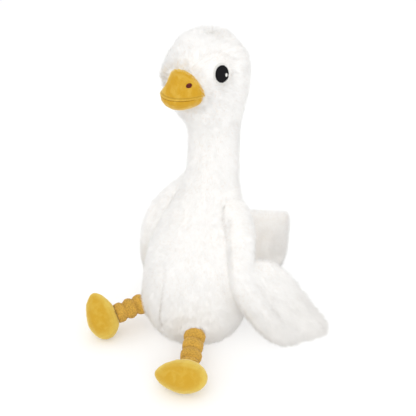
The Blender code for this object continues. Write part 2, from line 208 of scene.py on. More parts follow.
def unit(v):
    return v / np.maximum(np.linalg.norm(v, axis=-1, keepdims=True), 1e-12)


def new_piece(name, mesh):
    piece = bpy.data.objects.new(name, mesh)
    bpy.context.scene.collection.objects.link(piece)
    return piece


def settle(piece):
    """Applies the piece's modifiers, so that its mesh holds the shape."""
    graph = bpy.context.evaluated_depsgraph_get()
    made = piece.evaluated_get(graph)
    mesh = bpy.data.meshes.new_from_object(made, preserve_all_data_layers=True, depsgraph=graph)
    old, name = piece.data, piece.data.name
    piece.modifiers.clear()
    piece.data = mesh
    bpy.data.meshes.remove(old)
    mesh.name = name
    mesh.polygons.foreach_set("use_smooth", [True] * len(mesh.polygons))
    return piece


def even_copy(node, name, voxel, ease):
    """A copy of a CAD node's shape with even faces, its sharp cut edges eased."""
    bm = bmesh.new()
    bm.from_mesh(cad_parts[node].data)
    bmesh.ops.remove_doubles(bm, verts=bm.verts, dist=1e-5)
    mesh = bpy.data.meshes.new(name)
    bm.to_mesh(mesh)
    bm.free()
    piece = new_piece(name, mesh)
    even = piece.modifiers.new("Even", "REMESH")
    even.mode, even.voxel_size, even.adaptivity = "VOXEL", voxel, 0
    soft = piece.modifiers.new("Ease", "SMOOTH")
    soft.factor, soft.iterations = 0.5, ease
    return settle(piece)


def subdivide(piece):
    finer = piece.modifiers.new("Finer", "SUBSURF")
    finer.levels = finer.render_levels = 1
    settle(piece)


def tree_of(*nodes):
    """Something to measure distances to several CAD nodes with."""
    bm = bmesh.new()
    for n in nodes:
        bm.from_mesh(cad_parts[n].data)
    tree = BVHTree.FromBMesh(bm)
    bm.free()
    return tree


def distances(tree, co, reach=0.05):
    """How far each point is from the nodes of the tree, up to reach."""
    out = np.full(len(co), reach)
    for i, p in enumerate(co):
        found = tree.find_nearest(p, reach)
        if found[0] is not None:
            out[i] = found[3]
    return out


def line_offsets(line, co):
    """How far each point lies from a sewn line, and the way that leads off it."""
    line = np.array(line, float) * MM
    best = np.full(len(co), 1e9)
    away = np.zeros_like(co)
    for a, b in zip(line[:-1], line[1:]):
        d = b - a
        t = np.clip(((co - a) @ d) / (d @ d), 0, 1)[:, None]
        off = co - (a + t * d)
        far = np.linalg.norm(off, axis=1)
        nearer = far < best
        best[nearer] = far[nearer]
        away[nearer] = off[nearer]
    return best, unit(away)


def crease(piece, line, depth, width):
    """Presses a sewn line or fold into the piece as a soft valley."""
    co, n = points_of(piece.data), normals_of(piece.data)
    put_points(piece.data, co - n * (depth * falloff(line_offsets(line, co)[0], width))[:, None])


def refine(piece, lines, reach):
    """Gives the piece smaller faces along its sewn lines, so that they stay crisp."""
    bm = bmesh.new()
    bm.from_mesh(piece.data)
    co = np.array([v.co for v in bm.verts])
    near = np.min([line_offsets(line, co)[0] for line in lines], axis=0) < reach
    edges = [e for e in bm.edges if near[e.verts[0].index] and near[e.verts[1].index]]
    bmesh.ops.subdivide_edges(bm, edges=edges, cuts=1, use_grid_fill=True, smooth=0.0)
    bmesh.ops.triangulate(bm, faces=[f for f in bm.faces if len(f.verts) > 4])
    bm.to_mesh(piece.data)
    bm.free()
    piece.data.polygons.foreach_set("use_smooth", [True] * len(piece.data.polygons))


def mark(piece, name, values):
    """Keeps a number for each point of the piece, for its material to read."""
    values = np.broadcast_to(values, len(piece.data.vertices)).astype(np.float32)
    piece.data.attributes.new(name, "FLOAT", "POINT").data.foreach_set("value", values)


def mark_hollow_shade(piece, depth, rounds):
    """Marks from 0 to 1 how deep each point lies in the dents of the piece, for the painted shade there."""
    bm = bmesh.new()
    bm.from_mesh(piece.data)
    for _ in range(rounds):
        bmesh.ops.smooth_vert(
            bm, verts=bm.verts, factor=0.5, use_axis_x=True, use_axis_y=True, use_axis_z=True
        )
    eased = np.array([v.co for v in bm.verts])
    bm.free()
    rise = np.sum((eased - points_of(piece.data)) * normals_of(piece.data), axis=1)
    mark(piece, "hollow", smoothstep(0, depth, rise))


def mirrored(line):
    """The same line on the goose's other side."""
    return tuple((-x, y, z) for x, y, z in line)


def rumple(piece, amount, size, seed):
    """Moves the surface in and out by soft noise, as stuffing does under cloth."""
    co, n = points_of(piece.data), normals_of(piece.data)
    move = np.array([noise.noise(Vector(p) / size + Vector((seed, seed * 0.37, 0))) for p in co])
    put_points(piece.data, co + n * (move * amount)[:, None])


def stuff(piece, cap, hold):
    """Swells the piece by a cloth simulation with stuffing pressure. hold is 0 where a point may
    not move and 1 where it may move as far as cap."""
    scene = bpy.context.scene
    rest = points_of(piece.data)
    cloth = piece.modifiers.new("Stuffing", "CLOTH")
    cloth.settings.quality = 5
    cloth.settings.use_pressure = True
    cloth.settings.uniform_pressure_force = 4
    cloth.settings.effector_weights.gravity = 0
    cloth.collision_settings.use_collision = False
    cloth.point_cache.frame_start, cloth.point_cache.frame_end = 1, 20
    for f in range(1, 21):
        scene.frame_set(f)
    graph = bpy.context.evaluated_depsgraph_get()
    swollen = piece.evaluated_get(graph).to_mesh()
    move = points_of(swollen) - rest
    piece.evaluated_get(graph).to_mesh_clear()
    piece.modifiers.clear()
    scene.frame_set(1)
    far = np.linalg.norm(move, axis=1, keepdims=True)
    move *= np.minimum(1, cap / np.maximum(far, 1e-9)) * np.asarray(hold)[:, None]
    put_points(piece.data, rest + move)


def fit_out(piece, slot, *nodes):
    """Seats a finished piece: it rides on the goose and stands for its CAD nodes."""
    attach(piece, "root")
    if nodes:
        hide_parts(*nodes)


# ---------------------------------------------------------------- materials

NUMBERS = "ShaderNodeMath"
VECTORS = "ShaderNodeVectorMath"
MIX = "ShaderNodeMix"
RANGE = "ShaderNodeMapRange"
NOISE = "ShaderNodeTexNoise"
CELLS = "ShaderNodeTexVoronoi"
MARK = "ShaderNodeAttribute"
BUMP = "ShaderNodeBump"
EASED = {"interpolation_type": "SMOOTHSTEP"}
COLOURS = {"data_type": "RGBA"}


def add(tree, kind, inputs=None, **values):
    """Adds a node with its settings, sets or links its inputs, and gives its outputs."""
    node = tree.nodes.new(kind)
    for key, value in values.items():
        setattr(node, key, value)
    for key, value in (inputs or {}).items():
        if isinstance(value, bpy.types.NodeSocket):
            tree.links.new(value, node.inputs[key])
        else:
            node.inputs[key].default_value = value
    return node.outputs


def start_material(name):
    """A material with an empty tree, and the place on the object that its patterns are laid by."""
    material = bpy.data.materials.new(name)
    material.use_nodes = True
    tree = material.node_tree
    tree.nodes.clear()
    return material, tree, add(tree, "ShaderNodeTexCoord")["Object"]


def finish_material(tree, looks):
    """Sets and links what the surface looks like."""
    surface = add(tree, "ShaderNodeBsdfPrincipled", looks)["BSDF"]
    add(tree, "ShaderNodeOutputMaterial", {"Surface": surface})


def rgba(c, strength=1.0):
    """A colour with its alpha, all of it or each part made darker or lighter by strength."""
    return (*(float(part) for part in np.minimum(1, np.multiply(c, strength))), 1)


def plush_pile():
    """Polyester plush, knitted with a 6 mm pile and brushed: matt white fibres, with painted shade that makes
    them a little darker and warmer at the roots, faint warm specks, painted warm shade round the bill,
    painted shade that makes them darker towards the bottom, and painted shade in the seams, folds and
    crevices and under the chin."""
    s = settings()
    material, tree, place = start_material("brushed_polyester_plush")
    rise = add(tree, MARK, attribute_name="rise")["Fac"]
    patches = add(tree, NOISE, {"Vector": place, "Scale": 1 / (22 * MM), "Detail": 2.0})["Fac"]
    tufts = add(tree, NOISE, {"Vector": place, "Scale": 1 / (5 * MM), "Detail": 1.0})["Fac"]
    specks = add(tree, NOISE, {"Vector": place, "Scale": 1 / (2.6 * MM), "Detail": 1.0})["Fac"]
    specks = add(tree, RANGE, {0: specks, 1: 0.56, 2: 0.68}, **EASED)[0]
    share = add(tree, RANGE, {0: patches, 1: 0.38, 2: 0.6, 3: 0.1, 4: 0.55}, **EASED)[0]
    specks = add(tree, NUMBERS, {0: specks, 1: share}, operation="MULTIPLY")[0]
    tip = add(tree, MIX, {0: specks, 6: rgba(s.pile_tip), 7: rgba(s.pile_stain)}, **COLOURS)[2]
    # Painted warm shade in the pile round the bill.
    apart = add(tree, VECTORS, {0: place, 1: BILL_MIDDLE}, operation="DISTANCE")["Value"]
    close = add(tree, RANGE, {0: apart, 1: 38 * MM, 2: 22 * MM}, **EASED)[0]
    share = add(tree, RANGE, {0: tufts, 1: 0.36, 2: 0.6, 3: 0.15, 4: 0.9}, **EASED)[0]
    rubbed = add(tree, NUMBERS, {0: close, 1: share}, operation="MULTIPLY")[0]
    tip = add(tree, MIX, {0: rubbed, 6: tip, 7: rgba(s.pile_bill_shade)}, **COLOURS)[2]
    # Towards its root a fibre is in the shade of the others.
    shade = add(tree, RANGE, {0: tufts, 1: 0.35, 2: 0.7}, **EASED)[0]
    root = add(tree, MIX, {0: shade, 6: rgba(s.pile_root), 7: rgba(s.pile_root, 0.93)}, **COLOURS)[2]
    rise = add(tree, RANGE, {0: rise, 1: 0.0, 2: 0.55}, **EASED)[0]
    base = add(tree, MIX, {0: rise, 6: root, 7: tip}, **COLOURS)[2]
    # Painted shade: the lower it is, the darker and warmer it is.
    height = add(tree, "ShaderNodeSeparateXYZ", {0: place})[2]
    lower_shade = add(tree, RANGE, {0: height, 1: 120 * MM, 2: 0.0}, **EASED)[0]
    base = add(tree, MIX, {0: lower_shade, 6: base, 7: rgba(s.pile_root, (0.91, 0.93, 0.95))}, **COLOURS)[2]
    # Painted shade in the seams, folds and crevices and under the chin, from the seam mark.
    seam = add(tree, MARK, attribute_name="seam")["Fac"]
    base = add(tree, MIX, {0: seam, 6: base, 7: rgba(s.pile_root, (0.42, 0.36, 0.31))}, **COLOURS)[2]
    looks = {"Base Color": base, "Roughness": 0.85, "Specular IOR Level": 0.2}
    finish_material(tree, {**looks, "Sheen Weight": 0.15, "Sheen Roughness": 0.5})
    return material


def plush_backing():
    """The knitted backing that the pile stands on: white jersey whose loops give a fine bump, with painted
    shade in its seams, folds and crevices.
    """
    s = settings()
    material, tree, place = start_material("knitted_polyester_backing")
    loops = add(tree, CELLS, {"Vector": place, "Scale": 1 / (1.2 * MM)})["Distance"]
    patches = add(tree, NOISE, {"Vector": place, "Scale": 1 / (22 * MM), "Detail": 2.0})["Fac"]
    patches = add(tree, RANGE, {0: patches, 1: 0.4, 2: 0.7}, **EASED)[0]
    base = add(tree, MIX, {0: patches, 6: rgba(s.pile_tip, 0.98), 7: rgba(s.pile_root)}, **COLOURS)[2]
    # Painted shade in the seams, folds and crevices and under the chin, from the seam mark.
    seam = add(tree, MARK, attribute_name="seam")["Fac"]
    base = add(tree, MIX, {0: seam, 6: base, 7: rgba(s.pile_root, 0.25)}, **COLOURS)[2]
    bump = add(tree, BUMP, {"Height": loops, "Strength": 0.5, "Distance": 0.4 * MM})["Normal"]
    finish_material(tree, {"Base Color": base, "Normal": bump, "Roughness": 0.9, "Specular IOR Level": 0.2})
    return material


def cotton_velvet(name, deep, sheen_pale, rub):
    """Woven cotton velvet with a nap under 1 mm: a deep gold, with painted sheen that lightens it where the
    brushed mark is high, at the edges most. rub is how strongly the random patches between show."""
    material, tree, place = start_material(name)
    rubbed = {"Vector": place, "Scale": 1 / (9 * MM), "Detail": 3.0, "Distortion": 0.6}
    rubbed = add(tree, NOISE, rubbed)["Fac"]
    grain = add(tree, NOISE, {"Vector": place, "Scale": 1 / (0.7 * MM), "Detail": 2.0})["Fac"]
    share = add(tree, RANGE, {0: rubbed, 1: 0.42, 2: 0.68, 3: 0, 4: rub}, **EASED)[0]
    # Painted sheen: the lighter colour where the brushed mark is high.
    painted_sheen = add(tree, MARK, attribute_name="brushed")["Fac"]
    share = add(tree, NUMBERS, {0: painted_sheen, 1: 0.85, 2: share}, operation="MULTIPLY_ADD", use_clamp=True)[0]
    base = add(tree, MIX, {0: share, 6: rgba(deep), 7: rgba(sheen_pale)}, **COLOURS)[2]
    share = add(tree, RANGE, {0: grain, 1: 0.3, 2: 0.7, 3: 0, 4: 0.22}, **EASED)[0]
    base = add(tree, MIX, {0: share, 6: base, 7: rgba(deep, 0.75)}, **COLOURS)[2]
    stitched = add(tree, MARK, attribute_name="stitched")["Fac"]
    base = add(tree, MIX, {0: stitched, 6: base, 7: rgba(deep, 0.5)}, **COLOURS)[2]
    bump = add(tree, BUMP, {"Height": grain, "Strength": 0.55, "Distance": 0.35 * MM})["Normal"]
    looks = {"Base Color": base, "Normal": bump, "Roughness": 0.8, "Specular IOR Level": 0.2}
    sheen = {"Sheen Weight": 1.0, "Sheen Roughness": 0.35, "Sheen Tint": rgba(linear("F6E7B4"))}
    finish_material(tree, {**looks, **sheen})
    return material


def gathered_corduroy():
    """Fine corduroy, gathered: thick soft cords of mustard cotton, darker between the cords, with painted
    shade in the dents of the gathers.
    """
    s = settings()
    material, tree, place = start_material("gathered_cotton_corduroy")
    lumps = {"Vector": place, "Scale": 1 / (1.3 * MM), "Randomness": 1.0}
    lumps = add(tree, CELLS, lumps, feature="SMOOTH_F1")["Distance"]
    patches = add(tree, NOISE, {"Vector": place, "Scale": 1 / (6 * MM), "Detail": 3.0})["Fac"]
    share = add(tree, RANGE, {0: patches, 1: 0.35, 2: 0.7, 3: 0, 4: 0.5}, **EASED)[0]
    base = add(tree, MIX, {0: share, 6: rgba(s.corduroy), 7: rgba(s.corduroy, 1.3)}, **COLOURS)[2]
    share = add(tree, RANGE, {0: lumps, 1: 0.25, 2: 0.7, 3: 0, 4: 0.6}, **EASED)[0]
    base = add(tree, MIX, {0: share, 6: base, 7: rgba(s.corduroy, 0.55)}, **COLOURS)[2]
    # Painted shade in the dents between the gathers.
    hollow = add(tree, MARK, attribute_name="hollow")["Fac"]
    hollow = add(tree, NUMBERS, {0: hollow, 1: 0.65}, operation="MULTIPLY")[0]
    base = add(tree, MIX, {0: hollow, 6: base, 7: rgba(s.corduroy, 0.45)}, **COLOURS)[2]
    bump = add(tree, BUMP, {"Height": lumps, "Strength": 0.7, "Distance": 0.4 * MM}, invert=True)["Normal"]
    looks = {"Base Color": base, "Normal": bump, "Roughness": 0.9, "Specular IOR Level": 0.2}
    finish_material(tree, {**looks, "Sheen Weight": 0.1})
    return material


def satin_stitch(name, code, across, light):
    """Rayon thread in satin stitch: rows of thread side by side, with a painted gloss along them, up to light
    times as bright, and painted shade in the groove between them. across is the direction over the threads."""
    material, tree, place = start_material(name)
    row = add(tree, VECTORS, {0: place, 1: tuple(across)}, operation="DOT_PRODUCT")["Value"]
    waver = add(tree, NOISE, {"Vector": place, "Scale": 1 / (2.5 * MM)})["Fac"]
    turn = add(tree, NUMBERS, {0: row, 1: 2 * math.pi / settings().stitch_width}, operation="MULTIPLY")[0]
    turn = add(tree, NUMBERS, {0: waver, 1: 2.2, 2: turn}, operation="MULTIPLY_ADD")[0]
    thread = add(tree, NUMBERS, {0: turn}, operation="SINE")[0]
    share = add(tree, RANGE, {0: thread, 1: -0.9, 2: 0.5}, **EASED)[0]
    # Painted gloss along the threads and painted shade in the grooves between them.
    base = add(tree, MIX, {0: share, 6: rgba(code, 0.72), 7: rgba(code, light)}, **COLOURS)[2]
    bump = add(tree, BUMP, {"Height": thread, "Strength": 0.6, "Distance": 0.12 * MM})["Normal"]
    finish_material(tree, {"Base Color": base, "Normal": bump, "Roughness": 0.6, "Specular IOR Level": 0.05})
    return material


def paint(piece, material):
    """Gives the piece its one material."""
    piece.data.materials.clear()
    piece.data.materials.append(material)


# ---------------------------------------------------------------- pile


def fibre():
    """One fibre of the pile, upright and 1 long: a blade that tapers to its tip."""
    half = settings().pile_width / 2
    bm = bmesh.new()
    rise = bm.verts.layers.float.new("rise")
    sheet = bm.loops.layers.uv.new("blade")
    corners = [bm.verts.new(p) for p in ((half, 0, 0), (-half, 0, 0), (0, 0, 1))]
    corners[2][rise] = 1
    face = bm.faces.new(corners)
    for loop, place in zip(face.loops, ((0, 0), (1, 0), (0.5, 1))):
        loop[sheet].uv = place
    mesh = bpy.data.meshes.new("fibre")
    bm.to_mesh(mesh)
    bm.free()
    return new_piece("fibre", mesh)


def pile_nodes(blade, seed, ruffle):
    """Geometry nodes that plant the pile by the density, comb and reach of each point, tufted by
    ruffle. Each fibre gets its own cell of the OFBake map, so that the export can keep its colour."""
    tree = bpy.data.node_groups.new("pile", "GeometryNodeTree")
    for way in ("INPUT", "OUTPUT"):
        tree.interface.new_socket("Geometry", in_out=way, socket_type="NodeSocketGeometry")
    skin = add(tree, "NodeGroupInput")[0]
    density, lean, reach, comb, cell, sheet = (
        add(tree, "GeometryNodeInputNamedAttribute", {"Name": name}, data_type=kind)[0]
        for name, kind in (
            ("density", "FLOAT"),
            ("lean", "FLOAT"),
            ("reach", "FLOAT"),
            ("comb", "FLOAT_VECTOR"),
            ("cell", "INT"),
            ("blade", "FLOAT_VECTOR"),
        )
    )
    chance, stored = "FunctionNodeRandomValue", "GeometryNodeStoreNamedAttribute"

    spots = {"Mesh": skin, "Density": density, "Seed": seed}
    spots = add(tree, "GeometryNodeDistributePointsOnFaces", spots, distribute_method="RANDOM")
    normal = spots["Normal"]
    place = add(tree, "GeometryNodeInputPosition")[0]
    number = add(tree, "GeometryNodeInputIndex")[0]
    number = {"Geometry": spots["Points"], "Name": "cell", "Value": number}
    roots = add(tree, stored, number, data_type="INT", domain="POINT")[0]

    # A few fibres stand nearly upright, and the rest lean along the comb.
    upright = add(tree, chance, {2: 0.0, 3: 1.0, "Seed": seed + 4}, data_type="FLOAT")[1]
    upright = add(tree, NUMBERS, {0: upright, 1: 3.0}, operation="POWER")[0]
    share = add(tree, NUMBERS, {0: upright, 1: -0.75, 2: 1.0}, operation="MULTIPLY_ADD")[0]
    lean = add(tree, NUMBERS, {0: lean, 1: share}, operation="MULTIPLY")[0]
    high = add(tree, NUMBERS, {0: lean}, operation="COSINE")[0]
    flat = add(tree, NUMBERS, {0: lean}, operation="SINE")[0]
    up = add(tree, VECTORS, {0: normal, "Scale": high}, operation="SCALE")[0]
    along = add(tree, VECTORS, {0: comb, "Scale": flat}, operation="SCALE")[0]
    way = add(tree, VECTORS, {0: up, 1: along}, operation="ADD")[0]

    # They bunch into tufts of two sizes, and each strays a little.
    facing = normal
    for size, amount, shade in ((11 * MM, 0.85, 0.5), (3.6 * MM, 0.8, 0.75)):
        tuft = add(tree, NOISE, {"Vector": place, "Scale": 1 / size, "Detail": 0.0})["Color"]
        tuft = add(tree, VECTORS, {0: tuft, 1: (0.5, 0.5, 0.5)}, operation="SUBTRACT")[0]
        turn = add(tree, VECTORS, {0: tuft, "Scale": amount * ruffle}, operation="SCALE")[0]
        way = add(tree, VECTORS, {0: way, 1: turn}, operation="ADD")[0]
        turn = add(tree, VECTORS, {0: tuft, "Scale": shade * ruffle}, operation="SCALE")[0]
        facing = add(tree, VECTORS, {0: facing, 1: turn}, operation="ADD")[0]
    stray = {0: (-0.2, -0.2, -0.2), 1: (0.2, 0.2, 0.2), "Seed": seed + 1}
    stray = add(tree, chance, stray, data_type="FLOAT_VECTOR")[0]
    way = add(tree, VECTORS, {0: way, 1: stray}, operation="ADD")[0]
    turn = add(tree, VECTORS, {0: stray, "Scale": 0.6}, operation="SCALE")[0]
    facing = add(tree, VECTORS, {0: facing, 1: turn}, operation="ADD")[0]

    # None points into the skin.
    rise = add(tree, VECTORS, {0: way, 1: normal}, operation="DOT_PRODUCT")["Value"]
    lift = add(tree, NUMBERS, {0: 0.3, 1: rise}, operation="SUBTRACT")[0]
    lift = add(tree, NUMBERS, {0: lift, 1: 0.0}, operation="MAXIMUM")[0]
    lift = add(tree, VECTORS, {0: normal, "Scale": lift}, operation="SCALE")[0]
    way = add(tree, VECTORS, {0: way, 1: lift}, operation="ADD")[0]
    # Nor does one stand quite upright, where only its edge would show.
    way = add(tree, VECTORS, {0: way}, operation="NORMALIZE")[0]
    steep = add(tree, VECTORS, {0: way, 1: normal}, operation="DOT_PRODUCT")["Value"]
    steep = add(tree, NUMBERS, {0: steep, 1: 0.8}, operation="SUBTRACT")[0]
    steep = add(tree, NUMBERS, {0: steep, 1: 0.0}, operation="MAXIMUM")[0]
    steep = add(tree, NUMBERS, {0: steep, 1: 3.0}, operation="MULTIPLY")[0]
    steep = add(tree, VECTORS, {0: comb, "Scale": steep}, operation="SCALE")[0]
    way = add(tree, VECTORS, {0: way, 1: steep}, operation="ADD")[0]

    # The flat of a blade looks outwards and a little up, give or take a spin.
    face = add(tree, VECTORS, {0: normal, 1: (0.0, 0.0, 0.6)}, operation="ADD")[0]
    align, spin = "FunctionNodeAlignRotationToVector", "FunctionNodeRotateRotation"
    stand = add(tree, align, {"Vector": way}, axis="Z")[0]
    stand = add(tree, align, {"Rotation": stand, "Vector": face}, axis="Y", pivot_axis="Z")[0]
    turn = add(tree, chance, {2: -0.9, 3: 0.9, "Seed": seed + 2}, data_type="FLOAT")[1]
    turn = add(tree, "ShaderNodeCombineXYZ", {"Z": turn})[0]
    turn = add(tree, "FunctionNodeEulerToRotation", {0: turn})[0]
    stand = add(tree, spin, {"Rotation": stand, "Rotate By": turn}, rotation_space="LOCAL")[0]
    tall = add(tree, chance, {2: 0.70, 3: 1.28, "Seed": seed + 3}, data_type="FLOAT")[1]
    tall = add(tree, NUMBERS, {0: tall, 1: reach}, operation="MULTIPLY")[0]
    size = add(tree, "ShaderNodeCombineXYZ", {"X": 1.0, "Y": 1.0, "Z": tall})[0]
    shape = add(tree, "GeometryNodeObjectInfo", {"Object": blade, "As Instance": True})["Geometry"]
    facing = {"Geometry": roots, "Name": "facing", "Value": facing}
    roots = add(tree, stored, facing, data_type="FLOAT_VECTOR", domain="POINT")[0]
    grown = {"Points": roots, "Instance": shape, "Rotation": stand, "Scale": size}
    grown = add(tree, "GeometryNodeInstanceOnPoints", grown)[0]
    real = add(tree, "GeometryNodeRealizeInstances", {"Geometry": grown})[0]

    # None dips under the floor.
    x, y, z = add(tree, "ShaderNodeSeparateXYZ", {0: place})
    z = add(tree, NUMBERS, {0: z, 1: 0.3 * MM}, operation="MAXIMUM")[0]
    place = add(tree, "ShaderNodeCombineXYZ", {"X": x, "Y": y, "Z": z})[0]
    real = add(tree, "GeometryNodeSetPosition", {"Geometry": real, "Position": place})[0]

    # The map is a square of cells, with a tenth of each left free round its blade.
    count = {"Geometry": spots["Points"]}
    count = add(tree, "GeometryNodeAttributeDomainSize", count, component="POINTCLOUD")["Point Count"]
    cells = add(tree, NUMBERS, {0: count}, operation="SQRT")[0]
    cells = add(tree, NUMBERS, {0: cells}, operation="CEIL")[0]
    column = add(tree, NUMBERS, {0: cell, 1: cells}, operation="MODULO")[0]
    row = add(tree, NUMBERS, {0: cell, 1: cells}, operation="DIVIDE")[0]
    row = add(tree, NUMBERS, {0: row}, operation="FLOOR")[0]
    corner = add(tree, "ShaderNodeCombineXYZ", {"X": column, "Y": row})[0]
    inner = add(tree, VECTORS, {0: sheet, "Scale": 0.8}, operation="SCALE")[0]
    inner = add(tree, VECTORS, {0: inner, 1: (0.1, 0.1, 0.0)}, operation="ADD")[0]
    uv = add(tree, VECTORS, {0: corner, 1: inner}, operation="ADD")[0]
    side = add(tree, NUMBERS, {0: 1.0, 1: cells}, operation="DIVIDE")[0]
    uv = add(tree, VECTORS, {0: uv, "Scale": side}, operation="SCALE")[0]
    uv = {"Geometry": real, "Name": "OFBake", "Value": uv}
    real = add(tree, stored, uv, data_type="FLOAT2", domain="CORNER")[0]
    add(tree, "NodeGroupOutput", {0: real})
    return tree


def grow_pile(name, skin, density, comb, lean, reach, material, seed, shade_marks, ruffle=1.0):
    """Grows a piece of pile on a skin. density is fibres on a square metre at each point, and marks
    gives how much painted shade the seams, folds and crevices put on each point."""
    pile = new_piece(name, skin.data.copy())
    pile.data.materials.clear()
    for label, values in (("density", density), ("lean", lean), ("reach", reach)):
        mark(pile, label, values)
    brushed = pile.data.attributes.new("comb", "FLOAT_VECTOR", "POINT")
    brushed.data.foreach_set("vector", comb.astype(np.float32).ravel())
    blade = fibre()
    pile.modifiers.new("Pile", "NODES").node_group = pile_nodes(blade, seed, ruffle)
    settle(pile)
    bpy.data.objects.remove(blade)
    mesh = pile.data
    mesh.name = name
    facing = np.empty(len(mesh.vertices) * 3, np.float32)
    mesh.attributes["facing"].data.foreach_get("vector", facing)
    for label in ("density", "lean", "reach", "comb", "cell", "blade", "facing"):
        found = mesh.attributes.get(label)
        if found:
            mesh.attributes.remove(found)
    if not mesh.uv_layers.get("OFBake"):
        raise RuntimeError(f"{name} has no OFBake map")
    # Painted shade in the seams, folds and crevices: half the skin's, and what the marks give.
    seam = np.empty(len(mesh.vertices), np.float32)
    mesh.attributes["seam"].data.foreach_get("value", seam)
    seam = np.clip(seam * 0.5 + shade_marks(points_of(mesh)), 0, 1).astype(np.float32)
    mesh.attributes["seam"].data.foreach_set("value", seam)
    # Fibres this thin are lit as the surface they make together, so they take its normals.
    mesh.polygons.foreach_set("use_smooth", [True] * len(mesh.polygons))
    mesh.normals_split_custom_set_from_vertices(unit(facing.reshape(-1, 3)).tolist())
    # Real fibres let light through, where blades this wide would shade each other grey.
    pile.visible_shadow = pile.visible_diffuse = False
    paint(pile, material)
    return pile


def comb_towards(n, way):
    """A brushing direction laid into the surface."""
    way = unit(np.broadcast_to(way, n.shape).astype(float))
    return unit(way - n * np.sum(way * n, axis=1, keepdims=True))


def shared_material(name, make):
    """The material of that name, which is made the first time."""
    return bpy.data.materials.get(name) or make()


# ---------------------------------------------------------------- pieces


def middle_of(node):
    """The middle of a CAD node's box."""
    low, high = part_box(node)
    return (np.array(low) + np.array(high)) / 2


def place_eye(side, co):
    """The eyes are sewn on by hand: the left one a little low, the right one further round the head."""
    if side == "left":
        return co + np.array((0.4, 0.7, -1.1)) * MM
    turn = math.radians(-13)
    x, y, z = np.moveaxis(co - HEAD_MIDDLE, -1, 0)
    x, y = x * math.cos(turn) - y * math.sin(turn), x * math.sin(turn) + y * math.cos(turn)
    return np.stack((x, y, z), axis=-1) + HEAD_MIDDLE


def eye_middle(side):
    """The middle of an eye, where it is sewn on."""
    return place_eye(side, middle_of(side + "_eye_white"))


def eye_way(side):
    """The way that an eye faces, level with the floor."""
    out = eye_middle(side) - HEAD_MIDDLE
    out[2] = 0
    return unit(out[None])[0]


def eye_rings(co):
    """How far each point is from the middle of the nearer eye, where 1 is the rim of its white."""
    best = np.full(len(co), 9.0)
    for side in ("left", "right"):
        out = eye_way(side)
        across = np.array((-out[1], out[0], 0.0))
        low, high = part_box(side + "_eye_white")
        off = co - eye_middle(side)
        wide = math.hypot(high.x - low.x, high.y - low.y) / 2
        ring = np.hypot(off @ across / wide, off[:, 2] / ((high.z - low.z) / 2))
        best = np.minimum(best, np.where(np.abs(off @ out) < 0.02, ring, 9.0))
    return best


def settle_left_foot(co, share=1.0):
    """The left foot is stuffed a little fuller than its solid and has slipped forwards; the leg
    follows it by share."""
    moved = co + np.array((2.2, -0.9, 0)) * MM
    if np.isscalar(share):
        middle = middle_of("left_foot") * (1, 1, 0)
        moved = middle + (moved - middle) * (1.03, 1.03, 1.0)
    return co + (moved - co) * np.reshape(share, (-1, 1))


def slope_crown(co):
    """The seams draw the back of the crown into two sloping faces, flatter than its solid."""
    for side in (1, -1):
        way = np.array(CROWN_WAY) * (side, 1, 1)
        past = co @ way - CROWN_REACH
        co = co - way * (0.5 * (past + np.sqrt(past**2 + CROWN_EDGE**2)))[:, None]
    return co


def press_far_side(co):
    """The bill is flatter over its right nostril than over its left one."""
    far = np.linalg.norm(co - np.array((-0.0135, -0.033, 0.3155)), axis=1)
    return co - unit(np.array((-0.72, -0.15, 0.65))) * (4.6 * MM * falloff(far, 10 * MM))[:, None]


def seam_shade_marks(co):
    """How much painted shade the seams and folds of the body and the line by the left arm get at each point.
    The belly seam opens lower down.
    """
    low = smoothstep(0.110, 0.035, co[:, 2])
    slit = falloff(line_offsets(BELLY_SEAM, co)[0], (1.1 + 0.7 * low) * MM)
    brow = falloff(line_offsets(BROW_FOLD, co)[0], 1.3 * MM)
    fold = falloff(line_offsets(BELLY_FOLD, co)[0], 1.2 * MM)
    return slit * (0.12 + 0.75 * low) + 0.6 * brow + 0.16 * fold + arm_shade_marks(co)


def tip_shade_marks(co):
    """How much more painted shade the seam near each wing tip gets at each point, over what its fold gives.
    """
    tips = (line_offsets(line, co)[0] for line in (WING_TIP_SEAM, mirrored(WING_TIP_SEAM)))
    return 0.22 * falloff(np.minimum(*tips), 1.3 * MM)


def arm_shade_marks(co):
    """How much painted shade the crevice between the left arm and the chest gets at each point."""
    return 0.22 * falloff(line_offsets(ARM_LINE, co)[0], 1.1 * MM)


